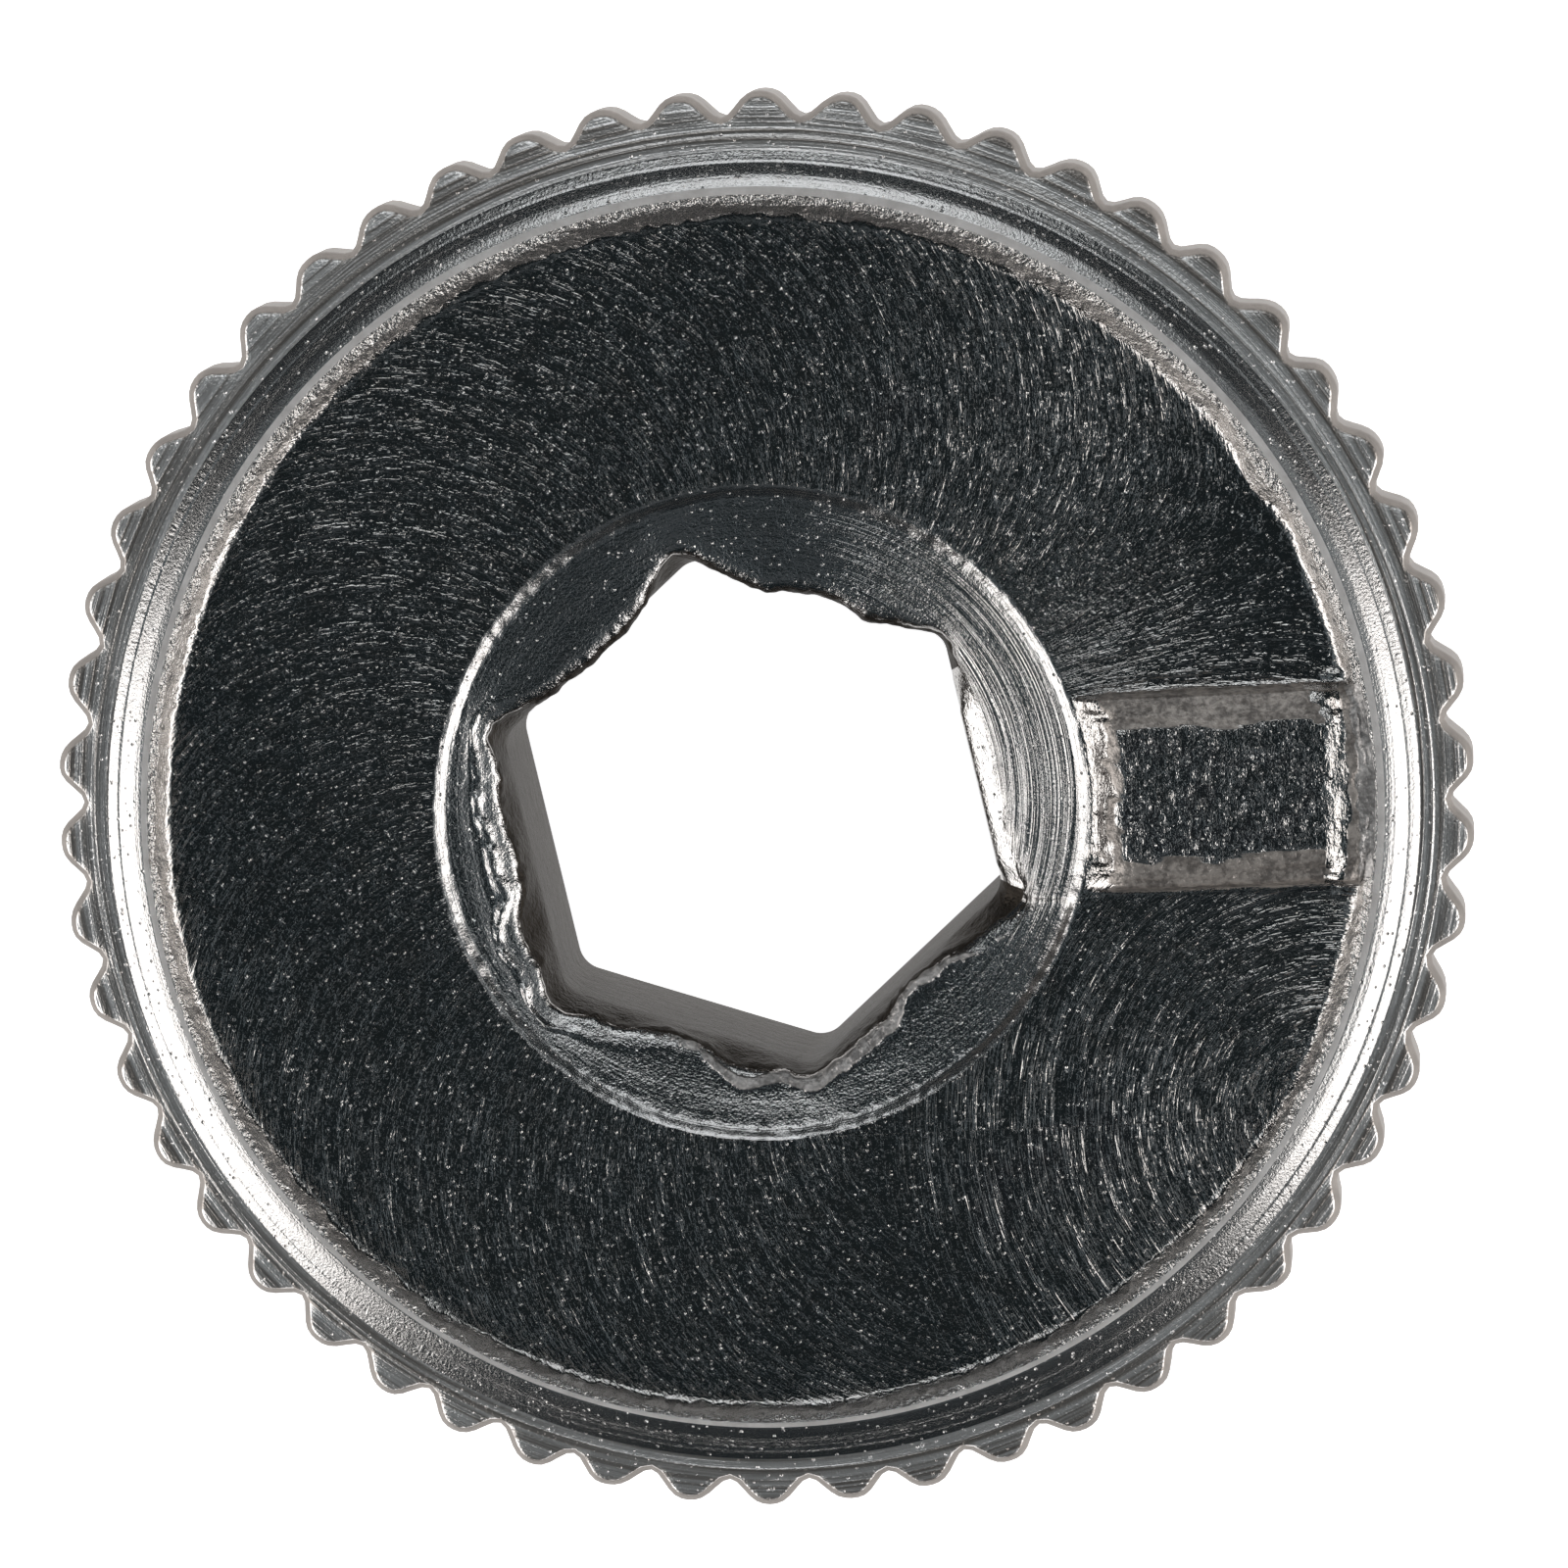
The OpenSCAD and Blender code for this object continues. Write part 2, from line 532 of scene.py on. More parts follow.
        # The lug, raised out of the track.
        uneven = nominal + 0.05 * coarse + 0.06 * fine
        depth = self.lug.depth_inside(places[..., 1] - self.lug.middle, uneven) + 0.02 * coarse
        ahead = (places[..., 0] > 0.0) & (nominal > self.sink_radius - 0.1)
        inner_end = smooth(nominal + 0.16 * coarse + 0.09 * fine, self.lug.start + 0.40, self.lug.start)
        outer_end = smooth(nominal + 0.16 * coarse + 0.10 * fine, 8.0, 8.3)
        top = track + self.lug.height(depth) - 0.22 * inner_end + 0.13 * outer_end * (depth > -0.2)
        raised = soft_max(places[..., 2], top, 0.03)
        on_lug = (ahead & (nominal < self.crest_radius)) * front
        places[..., 2] += on_lug * (raised - places[..., 2])

        # The ring's ragged inner wall and the lug's frosted edges.
        wall = smooth(nominal, self.track_radius - 0.16, self.track_radius) * smooth(
            nominal, self.bore_radius + 0.02, self.bore_radius - 0.06
        )
        wall = wall * front
        chips = sum(chip.at(angles) for chip in self.chips)
        shove = wall * (0.04 * coarse + 0.07 * fine + chips)
        places[..., 0] += shove * np.cos(angles)
        places[..., 1] += shove * np.sin(angles)
        ragged = depth + 0.14 * coarse + 0.10 * fine
        pillow = smooth(depth, -0.08, 0.0) * smooth(ragged, self.lug.pillow - 0.02, self.lug.pillow - 0.12)
        pillow = np.maximum(pillow, smooth(nominal + 0.08 * coarse, 5.14, 5.06) * (depth > 0.0))
        pillow = pillow * ahead * front * (nominal < self.track_radius)
        places[..., 2] += (wall + pillow) * (0.02 * coarse + 0.05 * fine)
        hub_edge = smooth(nominal, self.sink_radius - 0.28, self.sink_radius - 0.16)
        places[..., 2] += 0.014 * fine * hub_edge * (nominal < self.sink_radius) * front

        # The torn front edge of the hole, then the step, ripple and burr around it.
        torn = hexed * front
        pull = torn * (self.hole.tear(angles) + 0.06 * coarse + 0.03 * fine)
        below = (track - self.sink_drop - places[..., 2]) / self.hole.depth(angles)
        shallow = self.hole.shallow
        planed = np.clip(self.hole.shallow_rise * shallow.at(angles) / shallow.size, 0.0, 1.0)
        edge = smooth(below, 1.0, 0.05) * (1.0 - planed) + np.clip(1.0 - below, 0.0, 1.0) * planed
        places[..., 0] += pull * edge * np.cos(angles)
        places[..., 1] += pull * edge * np.sin(angles)
        hub = smooth(radii, self.hole.flats / 2.0, self.hole.flats / 2.0 + 0.5) * smooth(
            nominal, self.sink_radius, self.sink_radius - 0.15
        )
        step_down = smooth(np.degrees(angles), -18.0, -19.5) * smooth(np.degrees(angles), -75.0, -30.0)
        places[..., 2] -= 0.05 * step_down * hub * front
        lip = self.hole.radius(angles) + self.hole.tear(angles) + 0.26 + 0.05 * coarse
        ripple = np.exp(-(((radii - lip) / 0.08) ** 2)) * Bump(193.0, 34.0, 0.08).at(angles)
        inner_hub = front * (nominal < self.sink_radius - 0.2)
        places[..., 2] += ripple * (1.0 + 1.2 * fine) * inner_hub
        burr = np.exp(-(((radii - lip + 0.18) / 0.10) ** 2)) * Bump(288.0, 42.0, 1.0).at(angles) * inner_hub
        places[..., 2] += burr * (0.03 + 0.06 * fine)
        # A faint waviness of the track floor, and where the skin is frosted.
        track_band = smooth(nominal, self.sink_radius, self.sink_radius + 0.2) * smooth(
            nominal, self.track_radius, self.track_radius - 0.2
        )
        places[..., 2] += 0.006 * grain(places, 0.9, 5.0) * track_band * front
        outer = smooth(nominal + 0.06 * coarse, 8.27, 8.34) * (nominal < self.bore_radius - 0.03)
        outer = outer * ahead * (depth > 0.0) * front
        patchy = nominal + 0.16 * coarse + 0.09 * fine
        clear = smooth(patchy, self.lug.start + 0.32, self.lug.start + 0.22)
        clear = clear + smooth(patchy, 7.94, 8.0) * smooth(patchy, 8.34, 8.28)
        return np.clip(np.maximum(pillow * (1.0 - clear), outer) + 1.3 * burr, 0.0, 1.0)

    def build(self) -> bpy.types.Object:
        """Turns and forms the disc.

        Returns:
            The finished piece, standing for the CAD disc.
        """
        rows, kinds = self.stations()
        disc = self.turn_blank(rows)
        places, frosting = self.form(rows)
        self._settle(disc, places, frosting)
        self._dress(disc, kinds)
        bpy.ops.object.shade_smooth()
        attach(disc, "root")
        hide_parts(DISC_NODE)
        LOG.info("%s: %d rings of %d columns", disc.name, len(rows), self.columns)
        return disc

    def _settle(self, disc: bpy.types.Object, places: np.ndarray, frosting: np.ndarray) -> None:
        """Moves each vertex to its formed place and stores its frosting.

        Args:
            disc: the blank, whose vertices carry their ring's number.
            places: rings by columns by x, y, z, in millimetres.
            frosting: rings by columns.
        """
        mesh = disc.data
        co = np.zeros(len(mesh.vertices) * 3, np.float32)
        mesh.vertices.foreach_get("co", co)
        co = co.reshape(-1, 3)
        ring = self._rings(mesh)
        column = np.round(np.arctan2(co[:, 1], co[:, 0]) / (math.tau / self.columns)).astype(int)
        column %= self.columns
        low, high = (np.array(corner) for corner in cad_box)
        inside = np.clip(places[ring, column] * MM, low, high)
        mesh.vertices.foreach_set("co", inside.astype(np.float32).ravel())
        skin = mesh.attributes.new("frosting", "FLOAT", "POINT")
        skin.data.foreach_set("value", frosting[ring, column].astype(np.float32))
        mesh.update()

    def _dress(self, disc: bpy.types.Object, kinds: list[Surface]) -> None:
        """Gives every face the finish of its kind of surface."""
        mesh = disc.data
        finishes = Finishes()
        for surface in Surface:
            mesh.materials.append(finishes.make(surface))
        corners = np.zeros(len(mesh.loops), np.int32)
        mesh.loops.foreach_get("vertex_index", corners)
        rings = self._rings(mesh)[corners].reshape(-1, 4)
        low, high = rings.min(axis=1), rings.max(axis=1)
        start = np.where(high - low > 1, high, low)
        slots = np.array([kind.value for kind in kinds])[start]
        middles = np.zeros(len(mesh.polygons) * 3, np.float32)
        mesh.polygons.foreach_get("center", middles)
        middles = middles.reshape(-1, 3) / MM
        bearings = np.arctan2(middles[:, 1], middles[:, 0])
        lip = self.thickness - self.track_drop - self.sink_drop - 0.5
        shallow = self.hole.shallow.at(bearings) > 0.3
        slots[(slots == Surface.PUNCHED.value) & (middles[:, 2] > lip) & shallow] = Surface.SUNK.value
        mesh.polygons.foreach_set("material_index", slots.astype(np.int32))
        mesh.attributes.remove(mesh.attributes["ring"])


class Nodes:
    """A small helper that adds and joins shader nodes in one tree."""

    def __init__(self, tree: bpy.types.NodeTree) -> None:
        """Keeps the tree that the nodes go in."""
        self.tree = tree

    def add(self, kind: str, **settings: object) -> bpy.types.Node:
        """Adds a node.

        Args:
            kind: the node's type name.
            settings: properties to set on it.

        Returns:
            The new node.
        """
        node = self.tree.nodes.new(kind)
        for name, value in settings.items():
            setattr(node, name, value)
        return node

    def put(self, socket: bpy.types.NodeSocket, value: object) -> None:
        """Joins a socket to an input, or sets the input to a plain value."""
        if isinstance(value, bpy.types.NodeSocket):
            self.tree.links.new(value, socket)
        else:
            socket.default_value = value

    def maths(self, operation: str, first: object, second: object = 0.0, third: object = 0.0) -> object:
        """Adds a Math node and returns its result."""
        node = self.add("ShaderNodeMath", operation=operation)
        for socket, value in zip(node.inputs, (first, second, third)):
            self.put(socket, value)
        return node.outputs[0]

    def ramp(self, value: object, low: float, high: float) -> object:
        """Adds a smooth Map Range from low to high onto 0 to 1 and returns its result."""
        node = self.add("ShaderNodeMapRange", interpolation_type="SMOOTHSTEP")
        self.put(node.inputs["Value"], value)
        self.put(node.inputs["From Min"], low)
        self.put(node.inputs["From Max"], high)
        return node.outputs["Result"]

    def times(self, first: object, second: object) -> object:
        """Multiplies two values."""
        return self.maths("MULTIPLY", first, second)

    def split(self, vector: object) -> tuple[object, object, object]:
        """Splits a vector into x, y and z."""
        node = self.add("ShaderNodeSeparateXYZ")
        self.put(node.inputs[0], vector)
        return node.outputs[0], node.outputs[1], node.outputs[2]

    def length(self, x: object, y: object) -> object:
        """Returns the distance of a place in the plane."""
        return self.maths("SQRT", self.maths("ADD", self.times(x, x), self.times(y, y)))

    def polar(self, x: object, y: object) -> tuple[object, object]:
        """Returns the distance and the bearing, in radians, of a place in the plane."""
        return self.length(x, y), self.maths("ARCTAN2", y, x)

    def noise(self, vector: object, scale: object, detail: float = 2.0, rough: float = 0.5) -> object:
        """Adds a noise texture and returns its value."""
        node = self.add("ShaderNodeTexNoise")
        self.put(node.inputs["Vector"], vector)
        self.put(node.inputs["Scale"], scale)
        node.inputs["Detail"].default_value = detail
        node.inputs["Roughness"].default_value = rough
        return node.outputs["Fac"]

    def vector(self, x: object, y: object, z: object) -> object:
        """Joins three values into a vector."""
        node = self.add("ShaderNodeCombineXYZ")
        for socket, value in zip(node.inputs, (x, y, z)):
            self.put(socket, value)
        return node.outputs[0]

    def mix(self, kind: str, share: object, first: object, second: object) -> object:
        """Adds a mix of the given data type and returns its result."""
        node = self.add("ShaderNodeMix", data_type=kind)
        for name, value in zip(("Factor", "A", "B"), (share, first, second)):
            self.put(node.inputs[name], value)
        return node.outputs["Result"]

    def mix_colour(self, share: object, first: object, second: object) -> object:
        """Mixes two colours."""
        return self.mix("RGBA", share, first, second)

    def mix_value(self, share: object, first: object, second: object) -> object:
        """Mixes two numbers."""
        return self.mix("FLOAT", share, first, second)


@dataclass(frozen=True)
class Effect:
    """A surface effect kept as a shader node group, built once and used by several finishes."""

    name: str
    inputs: tuple[str, ...]
    outputs: tuple[str, ...]

    def group(self) -> bpy.types.NodeTree:
        """Returns the node group, making it the first time."""
        made = bpy.data.node_groups.get(self.name)
        if made is not None:
            return made
        tree = bpy.data.node_groups.new(self.name, "ShaderNodeTree")
        tree.interface.new_socket("Vector", in_out="INPUT", socket_type="NodeSocketVector")
        for name in self.inputs:
            tree.interface.new_socket(name, in_out="INPUT", socket_type="NodeSocketFloat")
        for name in self.outputs:
            tree.interface.new_socket(name, in_out="OUTPUT", socket_type="NodeSocketFloat")
        nodes = Nodes(tree)
        entry, leave = nodes.add("NodeGroupInput"), nodes.add("NodeGroupOutput")
        for name, value in self.fill(nodes, entry.outputs).items():
            nodes.put(leave.inputs[name], value)
        return tree

    def fill(self, nodes: Nodes, given: bpy.types.NodeOutputs) -> dict[str, object]:
        """Builds the group's inside; each effect has its own.

        Args:
            nodes: the helper for the group's tree.
            given: the group's inputs, by name.

        Returns:
            The value of each output, by name.
        """
        raise NotImplementedError

    def use(self, nodes: Nodes, vector: object, **values: object) -> bpy.types.NodeOutputs:
        """Places the group in a material and returns its outputs."""
        node = nodes.add("ShaderNodeGroup", node_tree=self.group())
        nodes.put(node.inputs["Vector"], vector)
        for name, value in values.items():
            nodes.put(node.inputs[name], value)
        return node.outputs


@dataclass(frozen=True)
class TurningLines(Effect):
    """Fine lathe lines round the axis, uneven in depth."""

    name: str = "turning_lines"
    inputs: tuple[str, ...] = ("Lines",)
    outputs: tuple[str, ...] = ("Height",)

    def fill(self, nodes: Nodes, given: bpy.types.NodeOutputs) -> dict[str, object]:
        """Builds lines that follow the radius and change slowly round the circle."""
        x, y, z = nodes.split(given["Vector"])
        radius = nodes.maths("ADD", nodes.length(x, y), nodes.times(z, 0.7))
        slow = 0.10
        place = nodes.vector(
            nodes.times(radius, given["Lines"]),
            nodes.times(x, slow),
            nodes.times(y, slow),
        )
        return {"Height": nodes.noise(place, 1.0, 3.0, 0.6)}


@dataclass(frozen=True)
class Chatter(Effect):
    """The short radial ripples that a turning tool leaves in a narrow ring."""

    name: str = "chatter"
    inputs: tuple[str, ...] = ("Lines", "Ring Radius", "Ring Width")
    outputs: tuple[str, ...] = ("Height",)

    def fill(self, nodes: Nodes, given: bpy.types.NodeOutputs) -> dict[str, object]:
        """Builds ripples that follow the angle, faded out away from the ring."""
        x, y, _ = nodes.split(given["Vector"])
        radius = nodes.length(x, y)
        scale = nodes.maths("DIVIDE", given["Lines"], radius)
        place = nodes.vector(
            nodes.times(x, scale),
            nodes.times(y, scale),
            nodes.times(radius, 4.0),
        )
        away = nodes.maths("ABSOLUTE", nodes.maths("SUBTRACT", radius, given["Ring Radius"]))
        near = nodes.maths("SUBTRACT", 1.0, nodes.ramp(away, 0.0, given["Ring Width"]))
        return {"Height": nodes.times(nodes.noise(place, 1.0, 2.0, 0.5), near)}


@dataclass(frozen=True)
class MillingArcs(Effect):
    """The curved marks that an end mill leaves as it goes round the track and stops at the lug.

    Most of the way the marks are circles of Cutter Radius whose centres go round the axis at Cutter
    Place. Where the cutter enters, clockwise of the lug, they ring the entry point. On the lug they
    run straight across it. entry_sector is where the marks change over, in radians.
    """

    name: str = "milling_arcs"
    inputs: tuple[str, ...] = (
        "Cutter Radius", "Cutter Place", "Entry X", "Entry Y", "Lug Middle", "Lines"
    )
    outputs: tuple[str, ...] = ("Height",)
    entry_sector: tuple[float, float] = (-1.5, -1.1)
    lug_half_width: float = 1.3

    def fill(self, nodes: Nodes, given: bpy.types.NodeOutputs) -> dict[str, object]:
        """Builds the three sets of marks and joins them by place."""
        x, y, _ = nodes.split(given["Vector"])
        radius, angle = nodes.polar(x, y)
        marks = self._marks(nodes, *self._round_place(nodes, given, radius, angle))
        distance, bearing = nodes.polar(
            nodes.maths("SUBTRACT", x, given["Entry X"]), nodes.maths("SUBTRACT", y, given["Entry Y"])
        )
        across = nodes.times(distance, given["Lines"])
        entry_marks = self._marks(nodes, across, nodes.times(bearing, 2.5))
        entry_marks = nodes.times(entry_marks, 1.1)
        clockwise = nodes.maths("LESS_THAN", angle, 0.0)
        near_entry = nodes.times(nodes.ramp(angle, *self.entry_sector), clockwise)
        marks = nodes.mix_value(near_entry, marks, entry_marks)
        stronger = nodes.maths("MULTIPLY_ADD", nodes.ramp(x, 0.0, 6.0), 0.42, 0.6)
        across = nodes.times(x, given["Lines"])
        lug_marks = self._marks(nodes, across, nodes.times(y, 4.0))
        offset = nodes.maths("ABSOLUTE", nodes.maths("SUBTRACT", y, given["Lug Middle"]))
        beside = nodes.maths("LESS_THAN", offset, self.lug_half_width)
        on_lug = nodes.times(beside, nodes.maths("GREATER_THAN", x, 0.0))
        return {"Height": nodes.mix_value(on_lug, nodes.times(marks, stronger), lug_marks)}

    @staticmethod
    def _round_place(
        nodes: Nodes, given: bpy.types.NodeOutputs, radius: object, angle: object
    ) -> tuple[object, object]:
        """Returns the place across and along the marks that go round the track."""
        cutter, centre = given["Cutter Radius"], given["Cutter Place"]
        square = nodes.times(radius, radius)
        reach = nodes.maths(
            "SUBTRACT", nodes.times(centre, centre), nodes.times(cutter, cutter)
        )
        below = nodes.times(nodes.times(radius, centre), 2.0)
        lead = nodes.maths("ARCCOSINE", nodes.maths("DIVIDE", nodes.maths("ADD", square, reach), below))
        clockwise = nodes.maths("LESS_THAN", angle, 0.0)
        settled = nodes.maths("MAXIMUM", nodes.ramp(angle, 0.12, 0.85), clockwise)
        fan = nodes.times(nodes.maths("SUBTRACT", radius, 6.5), 0.045)
        turn = nodes.maths("ADD", angle, nodes.mix_value(settled, fan, nodes.maths("SUBTRACT", lead, 0.66)))
        across = nodes.times(turn, nodes.times(given["Lines"], 6.5))
        return across, nodes.times(radius, nodes.mix_value(settled, 1.4, 2.0))

    @staticmethod
    def _marks(nodes: Nodes, across: object, along: object) -> object:
        """Returns broad, fine and even ridges for a place across and along the marks."""
        place = nodes.vector(across, along, 0.0)
        fine = nodes.noise(place, 1.0, 3.0, 0.7)
        broad = nodes.noise(place, 0.4, 1.0, 0.5)
        waves = nodes.maths("SINE", nodes.maths("MULTIPLY_ADD", across, 0.7, nodes.times(broad, 9.0)))
        sharp = nodes.times(nodes.maths("POWER", fine, 3.0), 1.8)
        return nodes.maths("MULTIPLY_ADD", waves, 0.08, nodes.maths("MULTIPLY_ADD", broad, 1.2, sharp))


@dataclass(frozen=True)
class Pitting(Effect):
    """Small scattered pits and pimples in the plating."""

    name: str = "pitting"
    inputs: tuple[str, ...] = ("Scale", "Cover")
    outputs: tuple[str, ...] = ("Height",)

    def fill(self, nodes: Nodes, given: bpy.types.NodeOutputs) -> dict[str, object]:
        """Builds round pits in some of the cells of a cell texture."""
        cells = nodes.add("ShaderNodeTexVoronoi", feature="F1")
        nodes.put(cells.inputs["Vector"], given["Vector"])
        nodes.put(cells.inputs["Scale"], given["Scale"])
        split = nodes.add("ShaderNodeSeparateColor")
        nodes.put(split.inputs[0], cells.outputs["Color"])
        chosen = nodes.maths("LESS_THAN", split.outputs[0], given["Cover"])
        size = nodes.maths("MULTIPLY_ADD", split.outputs[1], 0.35, 0.12)
        bowl = nodes.maths("SUBTRACT", 1.0, nodes.maths("DIVIDE", cells.outputs["Distance"], size))
        mask = nodes.times(nodes.maths("MAXIMUM", bowl, 0.0), chosen)
        return {"Height": nodes.times(mask, -1.0)}


@dataclass(frozen=True)
class Mottle(Effect):
    """The uneven skin of pressed metal, in two sizes."""

    name: str = "mottle"
    inputs: tuple[str, ...] = ("Scale",)
    outputs: tuple[str, ...] = ("Height", "Tone", "Speck")

    def fill(self, nodes: Nodes, given: bpy.types.NodeOutputs) -> dict[str, object]:
        """Builds coarse and fine noise: Tone is the coarse one, and Speck picks out the fine one."""
        coarse = nodes.noise(given["Vector"], given["Scale"], 4.0, 0.6)
        fine = nodes.noise(given["Vector"], nodes.times(given["Scale"], 4.0), 3.0, 0.6)
        height = nodes.maths("MULTIPLY_ADD", fine, 0.4, coarse)
        return {"Height": height, "Tone": coarse, "Speck": nodes.ramp(fine, 0.38, 0.62)}


@dataclass(frozen=True)
class Plating:
    """The look of one kind of surface.

    bright and dull are the metal's two tones, and stain is the darkest and lightest tone of the
    frosted skin against dull. The rough values and the metal values come in pairs, for the bare and
    the frosted skin. Depths are in micrometres, pitch and scales in waves per millimetre. line_side
    keeps the lathe lines mostly to the side towards +X, painted_line_glints lets them swing the tone
    between bright and dull as painted glints of the lines, and grain_sparse keeps only the highest
    grains.
    """

    bright: tuple[float, float, float]
    dull: tuple[float, float, float]
    smooth_rough: float
    frosted_rough: float
    line_depth: float = 0.0
    line_side: bool = False
    arc_depth: float = 0.0
    pit_depth: float = 0.0
    mottle_depth: float = 0.0
    mottle_scale: float = 3.0
    grain_depth: float = 0.0
    chatter_depth: float = 0.0
    metal: float = 1.0
    frosted_metal: float = 0.55
    line_pitch: float = 16.0
    stain: tuple[float, float] = (0.55, 1.45)
    painted_line_glints: bool = False
    grain_scale: float = 26.0
    grain_sparse: bool = False


NICKEL = (0.60, 0.585, 0.57)
DULL_NICKEL = (0.47, 0.44, 0.42)
# Pale tone: painted sheen on the crest and painted glints in the faced ring's lathe lines.
PAINTED_SHEEN_NICKEL = (0.92, 0.88, 0.85)
MATT_NICKEL = (0.36, 0.32, 0.29)
FACED_NICKEL = (0.70, 0.67, 0.64)
DARK_NICKEL = (0.20, 0.18, 0.165)
# The duller tone of the crest's painted sheen.
CREST_SHEEN_DULL_NICKEL = (0.40, 0.37, 0.35)
PUNCHED_STEEL = (0.062, 0.052, 0.043)
MICRON = 1e-6
FROSTED_DEPTH = 34.0
MILL = {
    "Cutter Radius": 4.0,
    "Cutter Place": 5.6,
    "Entry X": 7.8,
    "Entry Y": -4.8,
    "Lug Middle": 0.0,
    "Lines": 9.2,
}
CHATTER = {"Lines": 110.0, "Ring Radius": 9.14, "Ring Width": 0.10}
PITS = {"Scale": 15.0, "Cover": 0.22}
LINED_SIDE = (1.4, 3.2)
UNLINED_SHARE = 0.15
LIP_HEIGHTS = (5.48, 5.56)
LOOKS = {
    Surface.TURNED: Plating(
        NICKEL, DULL_NICKEL, 0.20, 0.40,
        line_depth=9.0, pit_depth=15.0, grain_depth=6.0, chatter_depth=11.0,
    ),
    Surface.MILLED: Plating(
        NICKEL, MATT_NICKEL, 0.11, 0.38,
        arc_depth=23.0, pit_depth=9.0, mottle_depth=4.0,
        grain_depth=14.0, grain_scale=15.0, grain_sparse=True,
    ),
    Surface.PRESSED: Plating(
        FACED_NICKEL, DULL_NICKEL, 0.17, 0.34,
        pit_depth=8.0, mottle_depth=95.0, mottle_scale=3.2, grain_depth=8.0,
        metal=0.85, frosted_metal=0.5,
    ),
    Surface.SERRATED: Plating(
        MATT_NICKEL, DARK_NICKEL, 0.50, 0.52, mottle_depth=10.0, grain_depth=3.0, metal=0.8
    ),
    Surface.PUNCHED: Plating(
        PUNCHED_STEEL, PUNCHED_STEEL, 0.5, 0.6, mottle_depth=60.0, grain_depth=14.0
    ),
    Surface.SUNK: Plating(
        NICKEL, DULL_NICKEL, 0.13, 0.36,
        line_depth=42.0, line_side=True, pit_depth=10.0, mottle_depth=10.0, grain_depth=9.0,
    ),
    # The faced ring: its lathe lines also swing the colour from pale to matt, as painted glints.
    Surface.FACED: Plating(
        PAINTED_SHEEN_NICKEL, MATT_NICKEL, 0.26, 0.42,
        line_depth=34.0, line_pitch=11.0, painted_line_glints=True, pit_depth=12.0, grain_depth=9.0,
        chatter_depth=11.0, metal=0.88,
    ),
    Surface.BACKED: Plating(
        MATT_NICKEL, MATT_NICKEL, 0.42, 0.5,
        line_depth=14.0, mottle_depth=8.0, grain_depth=4.0, metal=0.75,
    ),
    # The crest: a pale, nearly matt colour painted in as its even highlight (painted sheen).
    Surface.CREST_PAINTED_SHEEN: Plating(
        PAINTED_SHEEN_NICKEL, CREST_SHEEN_DULL_NICKEL, 0.50, 0.55, mottle_depth=16.0, grain_depth=6.0, metal=0.12
    ),
}


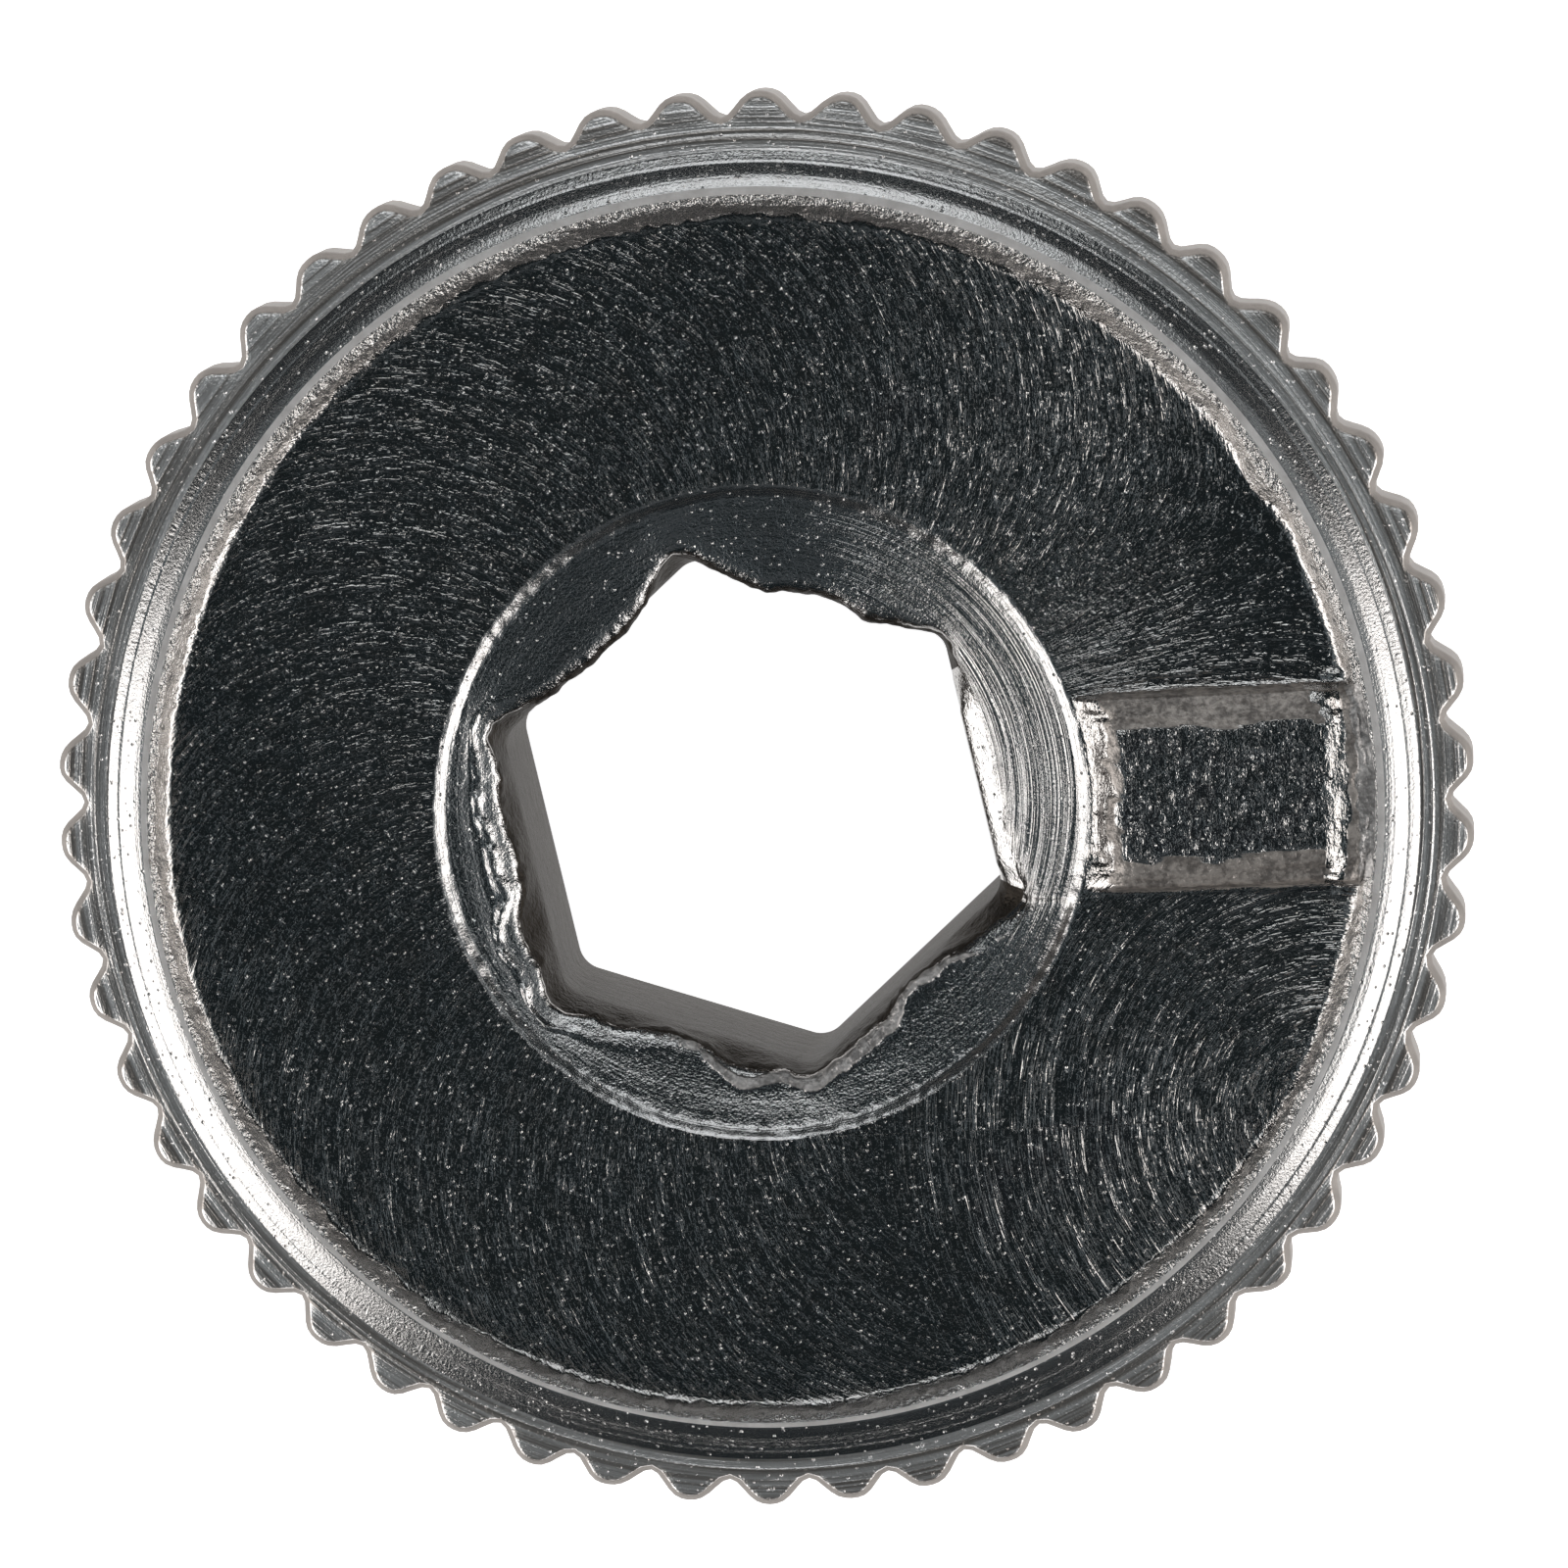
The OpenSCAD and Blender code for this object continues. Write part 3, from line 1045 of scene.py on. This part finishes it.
@dataclass
class Finishes:
    """Makes the material of each kind of surface."""

    looks: dict[Surface, Plating] = field(default_factory=lambda: dict(LOOKS))

    def make(self, surface: Surface) -> bpy.types.Material:
        """Makes one material.

        Args:
            surface: the kind of surface.

        Returns:
            The material, named after the surface.
        """
        look = self.looks[surface]
        material = bpy.data.materials.new(f"{surface.name.lower()}_steel")
        material.use_nodes = True
        nodes = Nodes(material.node_tree)
        shader = material.node_tree.nodes["Principled BSDF"]
        place = self._millimetres(nodes)
        frosting = nodes.add("ShaderNodeAttribute", attribute_name="frosting").outputs["Fac"]
        mottle = Mottle().use(nodes, place, Scale=look.mottle_scale)
        uneven = nodes.maths("MULTIPLY_ADD", mottle["Tone"], 1.2, -0.6)
        ragged = nodes.ramp(nodes.maths("ADD", frosting, uneven), 0.35, 0.6)
        relief, share = self._relief(nodes, look, place, mottle, ragged)
        bump = nodes.add("ShaderNodeBump")
        bump.inputs["Distance"].default_value = MICRON
        nodes.put(bump.inputs["Height"], relief)
        nodes.put(shader.inputs["Normal"], bump.outputs["Normal"])
        metal = nodes.mix_value(ragged, look.metal, min(look.metal, look.frosted_metal))
        nodes.put(shader.inputs["Metallic"], metal)
        rough = nodes.mix_value(ragged, look.smooth_rough, look.frosted_rough)
        nodes.put(shader.inputs["Roughness"], nodes.maths("MULTIPLY_ADD", mottle["Tone"], 0.08, rough))
        tone = nodes.mix_colour(share, (*look.bright, 1.0), (*look.dull, 1.0))
        dark, light = (tuple(part * scale for part in look.dull) + (1.0,) for scale in look.stain)
        patches = nodes.times(nodes.ramp(mottle["Tone"], 0.40, 0.60), 0.6)
        specks = nodes.maths("MULTIPLY_ADD", mottle["Speck"], 0.4, patches)
        stained = nodes.mix_colour(specks, dark, light)
        nodes.put(shader.inputs["Base Color"], nodes.mix_colour(ragged, tone, stained))
        return material

    def _relief(
        self, nodes: Nodes, look: Plating, place: object, mottle: bpy.types.NodeOutputs, ragged: object
    ) -> tuple[object, object]:
        """Adds up the heights of the marks that a surface shows.

        Args:
            nodes: the helper for the material's tree.
            look: the look of the surface.
            place: the object's coordinates, in millimetres.
            mottle: the outputs of the mottled skin.
            ragged: 1 where the skin is frosted, 0 where it is bare.

        Returns:
            The height, in micrometres, and the share of the dull tone.
        """
        share = mottle["Tone"]
        marks = [(mottle["Height"], nodes.mix_value(ragged, look.mottle_depth, FROSTED_DEPTH))]
        if look.line_depth:
            lines = TurningLines().use(nodes, place, Lines=look.line_pitch)["Height"]
            depth = self._side_depth(nodes, look, place) if look.line_side else look.line_depth
            marks.append((lines, depth))
            # Here the lathe lines lighten and darken the colour: painted glints of the lines.
            if look.painted_line_glints:
                share = nodes.ramp(lines, 0.40, 0.62)
        if look.chatter_depth:
            marks.append((Chatter().use(nodes, place, **CHATTER)["Height"], look.chatter_depth))
        if look.arc_depth:
            arcs = MillingArcs().use(nodes, place, **MILL)["Height"]
            marks.append((nodes.times(arcs, look.arc_depth), nodes.maths("SUBTRACT", 1.0, ragged)))
        if look.pit_depth:
            marks.append((Pitting().use(nodes, place, **PITS)["Height"], look.pit_depth))
        grains = nodes.noise(place, look.grain_scale, 2.0, 0.6)
        if look.grain_sparse:
            grains = nodes.maths("POWER", grains, 3.0)
        marks.append((grains, look.grain_depth))
        total = 0.0
        for height, depth in marks:
            total = nodes.maths("MULTIPLY_ADD", height, depth, total)
        return total, share

    @staticmethod
    def _side_depth(nodes: Nodes, look: Plating, place: object) -> object:
        """Returns the depth of lathe lines that fade out away from +X and below the lip."""
        x, y, z = nodes.split(place)
        side = nodes.maths("MULTIPLY_ADD", y, 0.35, x)
        depth = nodes.mix_value(
            nodes.ramp(side, *LINED_SIDE), look.line_depth * UNLINED_SHARE, look.line_depth
        )
        return nodes.times(depth, nodes.ramp(z, *LIP_HEIGHTS))

    @staticmethod
    def _millimetres(nodes: Nodes) -> object:
        """Returns the object's coordinates, in millimetres."""
        coordinates = nodes.add("ShaderNodeTexCoord")
        mapping = nodes.add("ShaderNodeMapping", vector_type="POINT")
        mapping.inputs["Scale"].default_value = (1.0 / MM, 1.0 / MM, 1.0 / MM)
        nodes.put(mapping.inputs["Vector"], coordinates.outputs["Object"])
        return mapping.outputs["Vector"]


@dataclass(frozen=True)
class Panel:
    """A soft studio panel.

    bearing and rise are in degrees, distance and size in metres, power in watts.
    """

    name: str
    bearing: float
    rise: float
    distance: float
    width: float
    tall: float
    power: float
    colour: tuple[float, float, float] = (1.0, 1.0, 1.0)

    def place(self, zero: float) -> None:
        """Adds the panel, aimed at the origin.

        Args:
            zero: the bearing, in degrees from +X, that counts as the picture's right.
        """
        turn, rise = math.radians(self.bearing + zero), math.radians(self.rise)
        back = Vector((math.cos(turn) * math.cos(rise), math.sin(turn) * math.cos(rise), math.sin(rise)))
        data = bpy.data.lights.new(self.name, "AREA")
        data.shape = "RECTANGLE"
        data.size, data.size_y = self.width, self.tall
        data.energy = self.power
        data.color = self.colour
        panel = bpy.data.objects.new(self.name, data)
        panel.location = back * self.distance
        panel.rotation_mode = "QUATERNION"
        panel.rotation_quaternion = (-back).to_track_quat("-Z", "Y")
        bpy.context.scene.collection.objects.link(panel)


@dataclass
class Studio:
    """The pale floor, the soft panels and the camera over the disc.

    The camera leans away from the disc's axis by lean degrees, towards lean_bearing degrees
    anticlockwise from the picture's right. roll is the bearing of the lug in the picture. aim is
    where the camera points, right and up from the disc's middle, in millimetres.
    """

    disc_height: float
    roll: float = 2.6
    lean: float = 5.2
    lean_bearing: float = 58.0
    distance: float = 0.2
    view_width: float = 22.38
    aim: tuple[float, float] = (0.135, 0.02)
    panels: tuple[Panel, ...] = (
        Panel("left_panel", 199.0, 20.0, 0.40, 0.43, 0.30, 1.08),
        Panel("right_panel", -13.0, 20.0, 0.40, 0.40, 0.30, 1.05),
        Panel("upper_left_panel", 190.0, 56.0, 0.40, 0.34, 0.16, 0.035, (0.75, 0.9, 1.0)),
        Panel("upper_right_panel", 0.0, 56.0, 0.40, 0.36, 0.16, 0.055, (0.85, 0.94, 1.0)),
        Panel("top_panel", 92.0, 52.0, 0.42, 0.28, 0.20, 0.27, (0.90, 0.96, 1.0)),
        Panel("bottom_panel", 272.0, 58.0, 0.42, 0.34, 0.16, 0.015, (0.8, 0.92, 1.0)),
    )

    def build(self) -> None:
        """Adds the floor, the lights and the camera."""
        self._floor()
        for panel in self.panels:
            panel.place(-self.roll)
        world = bpy.data.worlds.new("studio")
        world.use_nodes = True
        surroundings = world.node_tree.nodes["Background"]
        surroundings.inputs["Color"].default_value = (0.58, 0.84, 1.0, 1.0)
        surroundings.inputs["Strength"].default_value = 0.021
        bpy.context.scene.world = world
        bpy.context.scene.view_settings.view_transform = "Standard"
        self._camera()

    def _floor(self) -> None:
        """Adds the plain pale floor, which is lit a little from below as a light table is."""
        bpy.ops.object.select_all(action="DESELECT")
        bpy.ops.mesh.primitive_plane_add(size=0.26, location=(0.0, 0.0, -0.00005))
        floor = bpy.context.object
        floor.name = "floor"
        material = bpy.data.materials.new("pale_floor")
        material.use_nodes = True
        shader = material.node_tree.nodes["Principled BSDF"]
        shader.inputs["Base Color"].default_value = (0.9, 0.9, 0.9, 1.0)
        shader.inputs["Roughness"].default_value = 0.9
        shader.inputs["Emission Color"].default_value = (1.0, 1.0, 1.0, 1.0)
        shader.inputs["Emission Strength"].default_value = 1.0
        floor.data.materials.append(material)

    def _camera(self) -> None:
        """Adds the camera, square to the picture's right and up."""
        right_bearing = math.radians(-self.roll)
        right = Vector((math.cos(right_bearing), math.sin(right_bearing), 0.0))
        up = Vector((-right.y, right.x, 0.0))
        bearing, lean = math.radians(self.lean_bearing), math.radians(self.lean)
        sideways = right * math.cos(bearing) + up * math.sin(bearing)
        back = sideways * math.sin(lean) + Vector((0.0, 0.0, math.cos(lean)))
        target = (right * self.aim[0] + up * self.aim[1]) * MM
        target.z = self.disc_height / 2.0
        across = up.cross(back).normalized()
        upwards = back.cross(across)
        data = bpy.data.cameras.new("camera")
        data.lens = data.sensor_width * self.distance / (self.view_width * MM)
        data.clip_start, data.clip_end = 0.01, 10.0
        camera = bpy.data.objects.new("camera", data)
        turn = Matrix((across, upwards, back)).transposed().to_4x4()
        camera.matrix_world = Matrix.Translation(target + back * self.distance) @ turn
        bpy.context.scene.collection.objects.link(camera)
        bpy.context.scene.camera = camera


def main() -> None:
    """Builds the disc and its studio."""
    logging.basicConfig(level=logging.INFO, format="%(name)s: %(message)s")
    low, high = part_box(DISC_NODE)
    disc = FollowerDisc(tip_radius=high.x / MM, thickness=high.z / MM)
    disc.build()
    Studio(disc_height=high.z - low.z).build()


if __name__ == "__main__":
    main()
